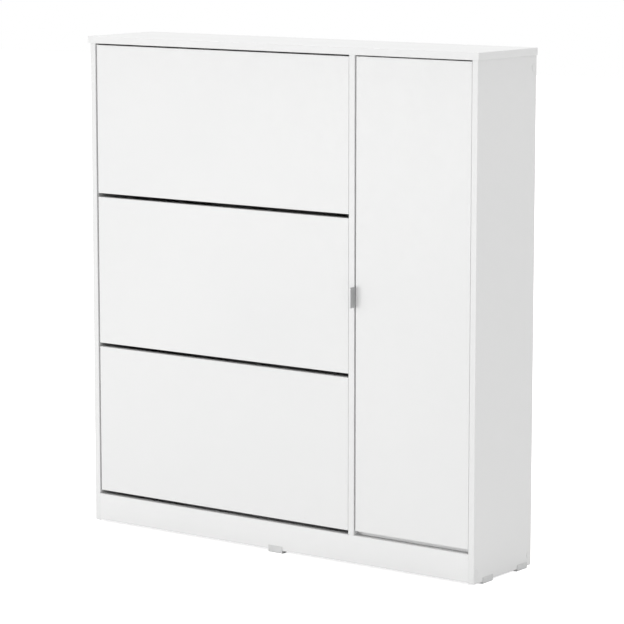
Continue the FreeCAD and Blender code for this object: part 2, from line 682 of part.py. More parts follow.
def guide_ribs(name, index):
    """Pairs of ribs on a bracket that hold the end of each rack plate between them."""
    ribs = []
    for plate, ((x, y, z), (_, depth, height)) in rack_plates(index).items():
        for side in (0, 1):
            shift = f"{side}*(rack_sheet + rib_wall) - rib_wall"
            if plate.endswith("floor"):
                low = (x, f"{y} + rib_inset", f"{z} + {shift}")
                size = ("guide_rib", f"{depth} - 2*rib_inset", "rib_wall")
            else:
                low = (x, f"{y} + {shift}", f"{z} + rib_inset")
                size = ("guide_rib", "rib_wall", f"{height} - 2*rib_inset")
                if plate == "partition" and side == 1:   # stops under the rear floor
                    size = ("guide_rib", "rib_wall", "rear_row_floor - front_row_floor - 2*rib_inset")
            ribs.append(block(f"{name}_{plate}_rib_{side}", low, size))
    return ribs


def stop_slot(name, index):
    """The arc that the stop pin follows in a bracket, as a Part solid."""
    centre = point(f"{flap_x} - {overcut}", pivot_y, pivot_z(index))
    radius = value("stop_radius")
    half_width = value("stop_pin/2 + slot_play")
    through = value(bracket_through)
    upright = FreeCAD.Rotation(FreeCAD.Vector(1, 1, 1), 120)   # turns +Z to +X and +X to +Y
    closed = value("stop_angle")
    travel = value("flap_travel")
    upwards = FreeCAD.Vector(0, 0, 1)
    band = Part.makeCylinder(radius + half_width, through, FreeCAD.Vector(), upwards, travel)
    band = band.cut(Part.makeCylinder(radius - half_width, through))
    about_x = FreeCAD.Rotation(FreeCAD.Vector(1, 0, 0), closed - travel)
    band.Placement = FreeCAD.Placement(centre, about_x * upright)
    ends = []
    for angle in (closed - travel, closed):
        turn = math.radians(angle)
        end = centre + FreeCAD.Vector(0, radius * math.cos(turn), radius * math.sin(turn))
        ends.append(Part.makeCylinder(half_width, through, end, FreeCAD.Vector(1, 0, 0)))
    slot = doc.addObject("Part::Feature", name)
    slot.Shape = band.fuse(ends)
    return slot


def round_corners(body, radius, keep_y):
    """Round the outline corners of a plate padded along +X, apart from those at y = keep_y."""
    doc.recompute()
    pad = body.Tip
    corners = []
    for number, edge in enumerate(pad.Shape.Edges, start=1):
        box = edge.BoundBox
        if box.XLength > 0.9 * pad.Shape.BoundBox.XLength and abs(box.YMin - keep_y) > 1:
            corners.append(f"Edge{number}")
    fillet = body.newObject("PartDesign::Fillet", "RoundCorners")
    fillet.Base = (pad, corners)
    fillet.Radius = radius


def flap_bracket(name, index, screws):
    z = flap_z(index)
    outline = [
        ("0", "bracket_foot"), ("front_row + 2*bracket_margin", "bracket_foot"),
        ("front_row + 5*bracket_margin", "rear_row_floor - 2*bracket_margin"),
        (f"{rack_rear} + bracket_margin", "rear_row_floor - 2*bracket_margin"),
        (f"{rack_rear} + bracket_margin", f"{rack_top} + bracket_margin"),
        ("front_row", f"{rack_top} + bracket_margin"), ("bracket_flange", bracket_top), ("0", bracket_top),
    ]
    wall = prism(f"{name}_wall", "YZ_Plane", outline, "bracket_wall",
                 (f"{flap_x} + bracket_inset", door_rear_y, z))
    round_corners(wall, bracket_corner, 0)
    flange = block(f"{name}_flange", (f"{flap_x} + bracket_inset", door_rear_y, f"{z} + bracket_foot"),
                   ("bracket_flange", "bracket_wall", f"{bracket_top} - bracket_foot"))
    solid = join(f"{name}_solid", [wall, flange] + guide_ribs(name, index))
    pivot = rod(f"{name}_pivot_hole", (f"{flap_x} - {overcut}", pivot_y, pivot_z(index)), "+X",
                "pivot_pin + 2*running_fit", bracket_through)
    holes = [pivot, stop_slot(f"{name}_slot", index)] + screws
    return cut(name, solid, join(f"{name}_holes", holes))


flap_screw_low = 19     # lowest screw over the bracket's foot
flap_screw_high = 22    # highest screw under the bracket's upper end
flap_screw_inset = 9    # from the bracket's wall
flap_screw_rises = (f"bracket_foot + {flap_screw_low}", f"{bracket_top}/2",
                    f"{bracket_top} - {flap_screw_high}")
bracket_screw_x = f"({flap_x} + {plate_gap} + {flap_screw_inset})"
mirror_x = f"(({bay_x} + {divider_x})/2)"

for index, flap in enumerate(flap_names):
    screw_y = f"{door_rear_y} + bracket_wall"
    sides = (bracket_screw_x, f"(2*{mirror_x} - {bracket_screw_x})")
    screws = [((x, screw_y, f"{flap_z(index)} + {rise}"), "-Y") for x in sides for rise in flap_screw_rises]
    holes = drill(f"{flap}_flap_screw_hole", screws, small_screw, small_screw_length + small_screw_play)
    holes += drill(f"{flap}_flap_screw_seat", screws, 2 * small_screw, small_screw_sink)
    blank = board(f"{flap}_flap_blank", (flap_x, face_y, flap_z(index)),
                  (flap_width, "front_board", flap_height), "edge_round")
    flap_drilling = join(f"{flap}_flap_drilling", holes)
    keep(cut(f"{flap}_flap_drilled", blank, flap_drilling), f"{flap}_flap_front")
    bracket = flap_bracket(f"{flap}_bracket", index, [flap_drilling])
    keep(bracket, f"{flap}_flap_bracket_left")
    mirrored = doc.addObject("Part::Mirroring", f"{flap}_bracket_mirrored")
    mirrored.Source = bracket
    mirrored.Normal = FreeCAD.Vector(1, 0, 0)
    bind(mirrored, **{"Base.x": mirror_x})
    keep(mirrored, f"{flap}_flap_bracket_right")
    for plate, (low, size) in rack_plates(index).items():
        label = f"{flap}_rack_{plate}"
        keep(block(label, low, size), label)
    fasteners(f"{flap}_flap_screws", screws, [
        (0, head_play), (small_screw, head_play), (small_screw / 2, small_screw_sink),
        (small_screw / 2, small_screw_length - small_screw_point), (0, small_screw_length)])


# ---- door ----

door_holes = [rod(f"cup_bore_{i}", (cup_x, f"{door_rear_y} + {overcut}", z), "-Y", "cup_diameter",
                  f"cup_depth + {overcut + cup_play}") for i, z in enumerate(hinge_levels)]
door_holes += drill("door_screw_hole", door_screws, small_screw, small_screw_length + small_screw_play)
door_drilling = join("door_drilling", door_holes)
door_blank = board("door_blank", (door_x, face_y, door_z), (door_width, "front_board", door_height),
                   "edge_round")
keep(cut("door_drilled", door_blank, door_drilling), "door_panel")

cup_radius = value("cup_diameter/2 - fastener_fit")
cup_inner = cup_radius - value("cup_wall")
cup_depth = value("cup_depth")
cup_floor = cup_depth - value("cup_wall")
cup_flange_size = FreeCAD.Vector(cup_flange_width, cup_flange_sheet, 2 * (cup_screw_rise + cup_flange_end))
cup_rim = 2
seat_radius = small_screw / 2 + value("fastener_fit")
screw_seats = [turned([(0, -overcut), (seat_radius, -overcut), (seat_radius, small_screw_length),
                       (0, small_screw_length)], point(*start), way) for start, way in door_screws]
cups = []
for z in hinge_levels:
    centre = point(cup_x, door_rear_y, z)
    shell = turned([(cup_inner, 0), (cup_radius, 0), (cup_radius, cup_depth), (0, cup_depth),
                    (0, cup_floor), (cup_inner, cup_floor)], centre, "-Y")
    flange = Part.makeBox(*cup_flange_size, centre - FreeCAD.Vector(cup_flange_size.x / 2, 0,
                                                                   cup_flange_size.z / 2))
    rim = Part.makeCylinder(cup_radius + cup_rim, cup_flange_sheet, centre, FreeCAD.Vector(0, 1, 0))
    mouth = Part.makeCylinder(cup_inner, cup_flange_sheet + 2 * overcut,
                              centre - FreeCAD.Vector(0, overcut, 0), FreeCAD.Vector(0, 1, 0))
    cups.append(shell.fuse([flange.fuse(rim).cut(mouth)]).cut(screw_seats).removeSplitter())
group("hinge_cups", cups)

# each pair of links follows an arc about the door's axis, above and below the hinge arm,
# and turns on a pin that reaches the cup's wall at both ends
link_gap = 3.3      # links behind the door's rear face, where they cross the axis
link_width = 3.4
link_inner = value("front_board") + link_gap
link_outer = link_inner + link_width
link_start = 94
link_end = 152
link_sheet = 1.6
link_play = 0.3
link_rise = value("arm_height/2") + link_play
link_pin_radius = 1.5
link_pin_turn = math.radians(link_end - 4)
link_middle = (link_inner + link_outer) / 2
link_pin_x = link_middle * math.cos(link_pin_turn)
link_pin_side = abs(link_pin_x + value("cup_offset")) + link_pin_radius
link_pin_reach = math.sqrt(cup_inner ** 2 - link_pin_side ** 2) - link_play
links = []
for z in hinge_levels:
    axis = point(hinge_x, face_y, z)
    pieces = []
    for low in (link_rise, -link_rise - link_sheet):
        sweep = link_end - link_start
        arc = Part.makeCylinder(link_outer, link_sheet, FreeCAD.Vector(), FreeCAD.Vector(0, 0, 1), sweep)
        arc = arc.cut(Part.makeCylinder(link_inner, link_sheet))
        arc.Placement = FreeCAD.Placement(axis + FreeCAD.Vector(0, 0, low),
                                          FreeCAD.Rotation(FreeCAD.Vector(0, 0, 1), link_start))
        pieces.append(arc)
    foot = axis + FreeCAD.Vector(link_pin_x, link_middle * math.sin(link_pin_turn), -link_pin_reach)
    pin = Part.makeCylinder(link_pin_radius, 2 * link_pin_reach, foot)
    links.append(pin.fuse(pieces))
group("hinge_links", links)

# the arm runs forward along the side panel, round the door's rear edge and into the cup
arm_length = 62     # behind the door
arm_width = 8       # off its plate
arm_bridge = (4, 10)        # its run across the cup, behind the door
arm_nose = (3, 11)          # its nose in the cup, from the cup's middle
arm_nose_play = 2           # over the cup's floor
arm_rear = f"front_board + {arm_length}"
bridge_front, bridge_rear = (f"front_board + {depth}" for depth in arm_bridge)
nose_near, nose_far = (f"{cup_x} - {plate_x} - {offset}" for offset in arm_nose)
nose_tip = f"front_board - cup_depth + {arm_nose_play}"
arm_corners = [
    ("0", arm_rear), (-arm_width, arm_rear), (-arm_width, bridge_rear), (nose_far, bridge_rear),
    (nose_far, nose_tip), (nose_near, nose_tip), (nose_near, bridge_front), ("0", bridge_front),
]
arms = doc.addObject("Part::Compound", "hinge_arm_set")
arms.Links = [prism(f"hinge_arm_{i}", "XY_Plane", arm_corners, "arm_height",
                    (plate_x, face_y, f"{z} - arm_height/2")) for i, z in enumerate(hinge_levels)]
keep(arms, "hinge_arms")

plates = doc.addObject("Part::Compound", "hinge_plate_blanks")
plates.Links = [block(f"hinge_plate_{i}",
                      (plate_x, f"{plate_y} - {plate_depth}/2", f"{z} - {plate_height}/2"),
                      (plate_sheet, plate_depth, plate_height))
                for i, z in enumerate(hinge_levels)]
plate_holes = drill("plate_hole", plate_screws, plate_screw, plate_screw_length)
plate_holes += drill("plate_seat", plate_screws, 2 * plate_screw, plate_screw_sink + head_play)
keep(cut("hinge_plate_drilled", plates, join("hinge_plate_holes", plate_holes)), "hinge_plates")

fasteners("hinge_plate_screws", plate_screws, [
    (0, head_play), (plate_screw, head_play), (plate_screw / 2, plate_screw_sink),
    (plate_screw / 2, plate_screw_length - small_screw_point), (0, plate_screw_length)])
dome_height = 1.4
dome_flat = 0.7 * small_screw
fasteners("door_screws", door_screws, [
    (0, -dome_height), (dome_flat, -dome_height), (small_screw, -dome_height / 2), (small_screw, 0),
    (small_screw / 2, 0), (small_screw / 2, small_screw_length - small_screw_point),
    (0, small_screw_length)])

# the handle is a bent tab on the door's free edge, screwed on from behind
handle_corners = [
    ("-handle_sheet", "-handle_reach"), ("0", "-handle_reach"), ("0", "front_board"),
    ("handle_flange", "front_board"), ("handle_flange", "front_board + handle_sheet"),
    ("-handle_sheet", "front_board + handle_sheet"),
]
handle = prism("handle_bent", "XY_Plane", handle_corners, "handle_height",
               (door_x, face_y, "handle_level - handle_height/2"), "handle_sheet/4")
keep(cut("handle_drilled", handle, door_drilling), "handle_tab")


# ---- checks and export ----

doc.recompute()
faults = [f"{item.Label}: {item.State}" for item in doc.Objects
          if "Invalid" in item.State or "Error" in item.State]
faults += [f"{item.Label}: bad shape" for item in nodes if item.Shape.isNull() or not item.Shape.isValid()]
faults += [f"{item.Label}: no solid" for item in nodes if not item.Shape.Solids]
if faults:
    raise RuntimeError("; ".join(faults))

os.makedirs("parts", exist_ok=True)
for item in nodes:
    item.Shape.exportStep(os.path.join("parts", item.Label + ".step"))
    print(f"{item.Label}: {len(item.Shape.Solids)} solid(s), {item.Shape.Volume / 1000:.1f} cm3")
print(f"{len(nodes)} nodes")
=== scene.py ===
import json
import math

import bmesh
import bpy
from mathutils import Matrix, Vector


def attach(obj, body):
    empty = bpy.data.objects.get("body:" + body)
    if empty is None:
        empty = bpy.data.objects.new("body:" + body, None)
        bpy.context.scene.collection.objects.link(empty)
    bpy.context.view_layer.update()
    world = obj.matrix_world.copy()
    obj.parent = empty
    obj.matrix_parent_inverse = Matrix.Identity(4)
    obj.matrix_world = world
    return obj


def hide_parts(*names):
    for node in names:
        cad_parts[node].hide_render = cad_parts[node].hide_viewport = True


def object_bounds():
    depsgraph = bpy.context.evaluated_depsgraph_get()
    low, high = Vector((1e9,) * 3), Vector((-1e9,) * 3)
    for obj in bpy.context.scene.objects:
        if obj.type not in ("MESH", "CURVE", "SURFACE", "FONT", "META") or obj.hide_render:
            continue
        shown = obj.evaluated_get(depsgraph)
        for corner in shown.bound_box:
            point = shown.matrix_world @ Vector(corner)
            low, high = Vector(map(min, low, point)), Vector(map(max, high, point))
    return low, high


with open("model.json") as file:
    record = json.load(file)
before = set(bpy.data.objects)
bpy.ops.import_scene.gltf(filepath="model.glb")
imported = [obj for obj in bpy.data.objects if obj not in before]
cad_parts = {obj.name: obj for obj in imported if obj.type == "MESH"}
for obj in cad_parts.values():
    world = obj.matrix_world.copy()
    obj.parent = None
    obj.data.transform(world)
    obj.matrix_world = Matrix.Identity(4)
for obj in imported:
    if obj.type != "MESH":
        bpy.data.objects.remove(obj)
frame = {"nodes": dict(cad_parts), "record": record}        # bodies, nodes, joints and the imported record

# Tall, shallow shoe cabinet: three tilting flaps with racks beside one full-height door.
# Metres; +X to the right of someone facing the fronts, -Y out of the fronts, +Z up.

cadLow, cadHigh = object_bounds()
middle = (cadLow + cadHigh) / 2
scene = bpy.context.scene
mm = 0.001


# camera: orbits the middle of the cabinet, aimed a little to the right of it and below it
cameraSetup = {"azimuth": 36.62, "elevation": 8.36, "distance": 6.648, "lens": 164.3, "sensor": 36,
               "farthest": 60, "aimRight": 0.020, "aimUp": -0.0375}


def makeCamera(setup):
    turn, rise = math.radians(setup["azimuth"]), math.radians(setup["elevation"])
    away = Vector((math.sin(turn) * math.cos(rise), -math.cos(turn) * math.cos(rise), math.sin(rise)))
    sideways = Vector((math.cos(turn), math.sin(turn), 0))
    target = middle + sideways * setup["aimRight"] + Vector((0, 0, setup["aimUp"]))
    lens = bpy.data.cameras.new("studioCamera")
    lens.lens = setup["lens"]
    lens.sensor_width = setup["sensor"]
    lens.clip_end = setup["farthest"]
    camera = bpy.data.objects.new("studioCamera", lens)
    camera.location = middle + away * setup["distance"]
    camera.rotation_mode = "QUATERNION"
    camera.rotation_quaternion = (target - camera.location).to_track_quat("-Z", "Y")
    scene.collection.objects.link(camera)
    scene.camera = camera


makeCamera(cameraSetup)
print("camera placed")


# small helpers for node trees
noiseLow, noiseHigh = 0.3, 0.7    # nearly all of a noise lies between these


def addNode(tree, kind, inputs=None, **settings):
    node = tree.nodes.new(kind)
    for name, setting in settings.items():
        setattr(node, name, setting)
    for name, number in (inputs or {}).items():
        node.inputs[name].default_value = number
    return node


def newMaterial(name, shaderValues):
    material = bpy.data.materials.new(name)
    material.use_nodes = True
    tree = material.node_tree
    shader = tree.nodes["Principled BSDF"]
    for socket, number in shaderValues.items():
        shader.inputs[socket].default_value = number
    return material, tree, shader


def stretchedPlace(tree, stretch=(1, 1, 1)):
    place = addNode(tree, "ShaderNodeTexCoord").outputs["Object"]
    mapping = addNode(tree, "ShaderNodeMapping", {"Scale": stretch})
    tree.links.new(place, mapping.inputs["Vector"])
    return mapping.outputs["Vector"]


def noiseField(tree, scale, detail=2.0, stretch=(1, 1, 1)):
    noise = addNode(tree, "ShaderNodeTexNoise", {"Scale": scale, "Detail": detail})
    tree.links.new(stretchedPlace(tree, stretch), noise.inputs["Vector"])
    return noise.outputs["Fac"]


def tintBetween(tree, field, dark, light):
    ramp = addNode(tree, "ShaderNodeValToRGB")
    ramp.color_ramp.elements[0].position = noiseLow
    ramp.color_ramp.elements[0].color = (*dark, 1)
    ramp.color_ramp.elements[1].position = noiseHigh
    ramp.color_ramp.elements[1].color = (*light, 1)
    tree.links.new(field, ramp.inputs["Fac"])
    return ramp.outputs["Color"]


def spread(tree, field, low, high):
    spreader = addNode(tree, "ShaderNodeMapRange", {"From Min": noiseLow, "From Max": noiseHigh,
                                                    "To Min": low, "To Max": high})
    tree.links.new(field, spreader.inputs["Value"])
    return spreader.outputs["Result"]


def mixFields(tree, first, second, share):
    mixer = addNode(tree, "ShaderNodeMix", {"Factor": share})
    tree.links.new(first, mixer.inputs["A"])
    tree.links.new(second, mixer.inputs["B"])
    return mixer.outputs["Result"]


def addBump(tree, shader, height, strength, distance):
    bump = addNode(tree, "ShaderNodeBump", {"Strength": strength, "Distance": distance})
    tree.links.new(height, bump.inputs["Height"])
    tree.links.new(bump.outputs["Normal"], shader.inputs["Normal"])


# stage: pale floor, bright backdrop, one soft light overhead and one at the front left
stageSetup = {"floorHalf": 14.0, "floorTone": 0.79, "floorCloud": 0.995, "floorGlow": 0.85,
              "skyStrength": 0.78, "backdropStrength": 1.0}
overheadLight = {"strength": 1.28, "angle": 14}
frontLight = {"power": 45.2, "width": 2.3, "height": 1.3, "at": (-2.2, -4.4, 0.70),
              "aim": (-0.1, 0, 0.5)}


def cameraRay(tree):
    return addNode(tree, "ShaderNodeLightPath").outputs["Is Camera Ray"]


def makeFloor(setup):
    # the glow keeps the floor bright where it is seen, and lights nothing
    material, tree, shader = newMaterial("paleFloor", {"Roughness": 0.85, "Specular IOR Level": 0.1,
                                                       "Emission Color": (1, 1, 1, 1)})
    light = Vector((1, 1, 1)) * setup["floorTone"]
    tint = tintBetween(tree, noiseField(tree, 2.0), light * setup["floorCloud"], light)
    tree.links.new(tint, shader.inputs["Base Color"])
    glow = addNode(tree, "ShaderNodeMath", {1: setup["floorGlow"]}, operation="MULTIPLY")
    tree.links.new(cameraRay(tree), glow.inputs[0])
    tree.links.new(glow.outputs["Value"], shader.inputs["Emission Strength"])
    reach = setup["floorHalf"]
    mesh = bpy.data.meshes.new("floor")
    mesh.from_pydata([(-reach, -reach, 0), (reach, -reach, 0), (reach, reach, 0), (-reach, reach, 0)],
                     [], [(0, 1, 2, 3)])
    mesh.materials.append(material)
    floor = bpy.data.objects.new("floor", mesh)
    scene.collection.objects.link(floor)


def makeWorld(setup):
    world = bpy.data.worlds.new("studioSky")
    world.use_nodes = True
    tree = world.node_tree
    sky = tree.nodes["Background"]
    sky.inputs["Color"].default_value = (1, 1, 1, 1)
    sky.inputs["Strength"].default_value = setup["skyStrength"]
    backdrop = addNode(tree, "ShaderNodeBackground", {"Color": (1, 1, 1, 1),
                                                      "Strength": setup["backdropStrength"]})
    mixer = addNode(tree, "ShaderNodeMixShader")
    tree.links.new(cameraRay(tree), mixer.inputs["Fac"])
    tree.links.new(sky.outputs["Background"], mixer.inputs[1])
    tree.links.new(backdrop.outputs["Background"], mixer.inputs[2])
    tree.links.new(mixer.outputs["Shader"], tree.nodes["World Output"].inputs["Surface"])
    scene.world = world


def addLight(name, kind, energy, location, aim, **settings):
    lamp = bpy.data.lights.new(name, kind)
    lamp.energy = energy
    for setting, amount in settings.items():
        setattr(lamp, setting, amount)
    light = bpy.data.objects.new(name, lamp)
    light.location = location
    light.rotation_euler = (Vector(aim) - Vector(location)).to_track_quat("-Z", "Y").to_euler()
    scene.collection.objects.link(light)


makeFloor(stageSetup)
makeWorld(stageSetup)
addLight("overheadSun", "SUN", overheadLight["strength"], (0, 0, 4), (0, 0, 0),
         angle=math.radians(overheadLight["angle"]))
addLight("frontSoftbox", "AREA", frontLight["power"], frontLight["at"], frontLight["aim"],
         shape="RECTANGLE", size=frontLight["width"], size_y=frontLight["height"])
scene.view_settings.view_transform = "Standard"
print("stage and lights ready")


# finishes
whiteFoil = {"dark": (0.785, 0.787, 0.785), "light": (0.800, 0.801, 0.798), "cloudScale": 2.6,
             "roughness": (0.36, 0.44), "sheenScale": 60, "grainScale": 700, "peelScale": 90,
             "grainStrength": 0.25, "grainDepth": 0.02 * mm}
# copies of the one white foil, brightened as painted light: the fronts' copy a touch, the plinth's and
# bottom board's copy more, standing in for light those faces lack
foilPaintedLight = {"whiteCarcassFoil": 1.0, "whiteFrontFoil": 1.005, "whitePlinthFoil": 1.035}


def makeWhiteFoil(name, setup, brightness):
    material, tree, shader = newMaterial(name, {"Specular IOR Level": 0.45})
    # the factor scales this copy's colour: painted light, not a different foil
    dark, light = (Vector(setup[tone]) * brightness for tone in ("dark", "light"))
    clouds = noiseField(tree, setup["cloudScale"], 3.0)
    tree.links.new(tintBetween(tree, clouds, dark, light), shader.inputs["Base Color"])
    sheen = noiseField(tree, setup["sheenScale"], 3.0)
    tree.links.new(spread(tree, sheen, *setup["roughness"]), shader.inputs["Roughness"])
    grain = noiseField(tree, setup["grainScale"], 1.0)
    peel = noiseField(tree, setup["peelScale"], 1.0)
    addBump(tree, shader, mixFields(tree, grain, peel, 0.5), setup["grainStrength"], setup["grainDepth"])
    return material


hardboardLook = {"dark": (0.17, 0.105, 0.06), "light": (0.33, 0.215, 0.125), "fibreScale": 420,
                 "blotchScale": 9, "blotchShare": 0.18, "innerFace": (0.72, 0.72, 0.71),
                 "roughness": (0.55, 0.8), "screenPitch": 17.593 * mm, "screenDepth": 0.15 * mm}


def makeHardboard(setup):
    # raw fibres and a pressed screen pattern at the rear, white paint on the face inside
    material, tree, shader = newMaterial("rearHardboard", {"Specular IOR Level": 0.3})
    fibres = noiseField(tree, setup["fibreScale"], 5.0, (1, 1, 0.55))
    blotches = noiseField(tree, setup["blotchScale"], 3.0)
    mottled = mixFields(tree, fibres, blotches, setup["blotchShare"])
    brown = tintBetween(tree, mottled, setup["dark"], setup["light"])
    facing = addNode(tree, "ShaderNodeSeparateXYZ")
    tree.links.new(addNode(tree, "ShaderNodeTexCoord").outputs["Normal"], facing.inputs["Vector"])
    inside = addNode(tree, "ShaderNodeMath", {1: -0.5}, operation="LESS_THAN")
    tree.links.new(facing.outputs["Y"], inside.inputs[0])
    tint = addNode(tree, "ShaderNodeMix", {"B": (*setup["innerFace"], 1)}, data_type="RGBA")
    tree.links.new(inside.outputs["Value"], tint.inputs["Factor"])
    colourIn, colourOut = mixSockets(tint)
    tree.links.new(brown, colourIn)
    tree.links.new(colourOut, shader.inputs["Base Color"])
    tree.links.new(spread(tree, fibres, *setup["roughness"]), shader.inputs["Roughness"])
    # diagonal bands repeat each 2 pi / 10 of the sum of the scaled coordinates
    bandScale = 2 * math.pi / (10 * setup["screenPitch"])
    screen = addNode(tree, "ShaderNodeTexWave", bands_direction="DIAGONAL",
                     inputs={"Scale": bandScale, "Distortion": 1.0})
    tree.links.new(stretchedPlace(tree), screen.inputs["Vector"])
    relief = mixFields(tree, screen.outputs["Fac"], fibres, 0.5)
    addBump(tree, shader, relief, 0.5, setup["screenDepth"])
    return material


def mixSockets(mixNode):
    # a colour Mix node keeps sockets of every type, so its colour ones are found by type
    colourIn = next(socket for socket in mixNode.inputs if socket.name == "A" and socket.type == "RGBA")
    colourOut = next(socket for socket in mixNode.outputs if socket.type == "RGBA")
    return colourIn, colourOut


grainedLooks = {
    "blackRackSheet": {"dark": (0.034, 0.034, 0.035), "light": (0.052, 0.052, 0.053),
                       "scale": 260, "roughness": (0.42, 0.60), "depth": 0.05 * mm},
    "blackBracketPlastic": {"dark": (0.028, 0.028, 0.029), "light": (0.042, 0.042, 0.043),
                            "scale": 520, "roughness": (0.50, 0.66), "depth": 0.04 * mm},
    "whiteCapPlastic": {"dark": (0.775, 0.777, 0.775), "light": (0.79, 0.79, 0.788),
                        "scale": 380, "roughness": (0.40, 0.50), "depth": 0.02 * mm},
    "paleGlidePlastic": {"dark": (0.62, 0.625, 0.625), "light": (0.67, 0.672, 0.67),
                         "scale": 380, "roughness": (0.40, 0.55), "depth": 0.03 * mm},
}
plasticCloudScale = 35


def makeGrained(name, setup):
    material, tree, shader = newMaterial(name, {"Specular IOR Level": 0.45})
    grain = noiseField(tree, setup["scale"], 2.0)
    clouds = noiseField(tree, plasticCloudScale, 4.0)
    tree.links.new(tintBetween(tree, clouds, setup["dark"], setup["light"]), shader.inputs["Base Color"])
    tree.links.new(spread(tree, grain, *setup["roughness"]), shader.inputs["Roughness"])
    addBump(tree, shader, grain, 0.5, setup["depth"])
    return material


metalLooks = {
    "zincPlatedSteel": {"dark": (0.50, 0.51, 0.53), "light": (0.68, 0.68, 0.68), "scale": 240,
                        "stretch": (1, 1, 1), "roughness": (0.26, 0.42)},
    "nickelPlatedSteel": {"dark": (0.60, 0.59, 0.57), "light": (0.72, 0.71, 0.69), "scale": 300,
                          "stretch": (1, 1, 0.2), "roughness": (0.18, 0.30)},
    "dieCastZinc": {"dark": (0.40, 0.41, 0.42), "light": (0.55, 0.55, 0.56), "scale": 500,
                    "stretch": (1, 1, 1), "roughness": (0.40, 0.58)},
    "satinAluminium": {"dark": (0.47, 0.472, 0.475), "light": (0.54, 0.543, 0.546), "scale": 900,
                       "stretch": (1, 1, 0.04), "roughness": (0.44, 0.56)},
}
metalGrainDepth = 0.01 * mm


def makeMetal(name, setup):
    material, tree, shader = newMaterial(name, {"Metallic": 1.0})
    blotches = noiseField(tree, setup["scale"], 3.0, setup["stretch"])
    tree.links.new(tintBetween(tree, blotches, setup["dark"], setup["light"]), shader.inputs["Base Color"])
    tree.links.new(spread(tree, blotches, *setup["roughness"]), shader.inputs["Roughness"])
    fineGrain = noiseField(tree, 3 * setup["scale"], 1.0, setup["stretch"])
    addBump(tree, shader, fineGrain, 0.2, metalGrainDepth)
    return material


beechLook = {"dark": (0.46, 0.29, 0.16), "light": (0.66, 0.46, 0.28), "scale": 500,
             "stretch": (1, 1, 0.15), "depth": 0.05 * mm}


def makeBeech(setup):
    material, tree, shader = newMaterial("beechWood", {"Specular IOR Level": 0.3, "Roughness": 0.6})
    rays = noiseField(tree, setup["scale"], 4.0, setup["stretch"])
    tree.links.new(tintBetween(tree, rays, setup["dark"], setup["light"]), shader.inputs["Base Color"])
    addBump(tree, shader, rays, 0.4, setup["depth"])
    return material


finishes = {name: makeGrained(name, setup) for name, setup in grainedLooks.items()}
finishes.update({name: makeMetal(name, setup) for name, setup in metalLooks.items()})
finishes.update({name: makeWhiteFoil(name, whiteFoil, brightness)
                 for name, brightness in foilPaintedLight.items()})
finishes["rearHardboard"] = makeHardboard(hardboardLook)
finishes["beechWood"] = makeBeech(beechLook)

slotFinish = {
    "white_board": "whiteCarcassFoil", "hardboard": "rearHardboard", "rack_sheet": "blackRackSheet",
    "bracket_plastic": "blackBracketPlastic", "steel": "zincPlatedSteel",
    "hinge_steel": "nickelPlatedSteel", "zinc": "dieCastZinc", "beech": "beechWood",
    "cap_plastic": "whiteCapPlastic", "glide_plastic": "paleGlidePlastic",
    "handle_metal": "satinAluminium",
}
slotOfNode = {row["node"]: row["material_slot"] for row in frame["record"]["subparts"]}


def dressNode(name, material):
    slots = frame["nodes"][name].material_slots
    if slots:
        for slot in slots:
            slot.material = material
    else:
        frame["nodes"][name].data.materials.append(material)


# the fronts get a copy of the white foil painted a touch lighter, the plinth and the bottom board behind
# the door's lower gap one painted lighter still: painted light standing in for light that does not reach
# these faces
paintedLightFoil = {"top_flap_front": "whiteFrontFoil", "middle_flap_front": "whiteFrontFoil",
                "bottom_flap_front": "whiteFrontFoil", "door_panel": "whiteFrontFoil",
                "plinth_board": "whitePlinthFoil", "bottom_board": "whitePlinthFoil"}
for nodeName, slotName in slotOfNode.items():
    dressNode(nodeName, finishes[paintedLightFoil.get(nodeName, slotFinish[slotName])])
print("finishes on", len(slotOfNode), "CAD nodes")


# fasteners: one template of each kind, set by Geometry Nodes on the places of the CAD solids
sharpFrom = 35    # degrees between faces, from which their edge stays sharp
recessTaper = 0.6


def turnedMesh(name, profile, sides, flute=0.0, recess=None):
    # profile: (radius, height) pairs from the head's top down to the tip; the head's top is at height 0
    shape = bmesh.new()
    rings = []
    for radius, height in profile:
        if radius == 0:
            rings.append([shape.verts.new((0, 0, height))])
            continue
        ring = []
        for i in range(sides):
            turn = 2 * math.pi * i / sides
            reach = radius * (1 - flute * (i % 2))
            ring.append(shape.verts.new((reach * math.cos(turn), reach * math.sin(turn), height)))
        rings.append(ring)
    for upper, lower in zip(rings, rings[1:]):
        for i in range(sides):
            corners = [upper[i % len(upper)], lower[i % len(lower)],
                       lower[(i + 1) % len(lower)], upper[(i + 1) % len(upper)]]
            shape.faces.new(list(dict.fromkeys(corners)))
    if recess:
        cutCross(shape, rings[0], **recess)
    bmesh.ops.recalc_face_normals(shape, faces=shape.faces)
    mesh = bpy.data.meshes.new(name)
    shape.to_mesh(mesh)
    shape.free()
    for face in mesh.polygons:
        face.use_smooth = True
    mesh.set_sharp_from_angle(angle=math.radians(sharpFrom))
    return mesh


def cutCross(shape, rim, reach, width, depth):
    # closes the head's top round a cross-shaped recess
    half = width / 2
    quarter = [(reach, -half), (reach, half), (half, half)]
    outline = []
    for quadrant in range(4):
        turn = quadrant * math.pi / 2
        across, along = math.cos(turn), math.sin(turn)
        for x, y in quarter:
            outline.append((x * across - y * along, x * along + y * across))
    top = rim[0].co.z
    mouth = [shape.verts.new((x, y, top)) for x, y in outline]
    floor = [shape.verts.new((x * recessTaper, y * recessTaper, top - depth)) for x, y in outline]
    count = len(mouth)
    edges = [shape.edges.new((mouth[i], mouth[(i + 1) % count])) for i in range(count)]
    edges += [shape.edges.get((rim[i], rim[(i + 1) % len(rim)])) for i in range(len(rim))]
    bmesh.ops.triangle_fill(shape, use_beauty=True, edges=edges)
    for i in range(count):
        after = (i + 1) % count
        shape.faces.new((mouth[i], mouth[after], floor[after], floor[i]))
    shape.faces.new(floor)


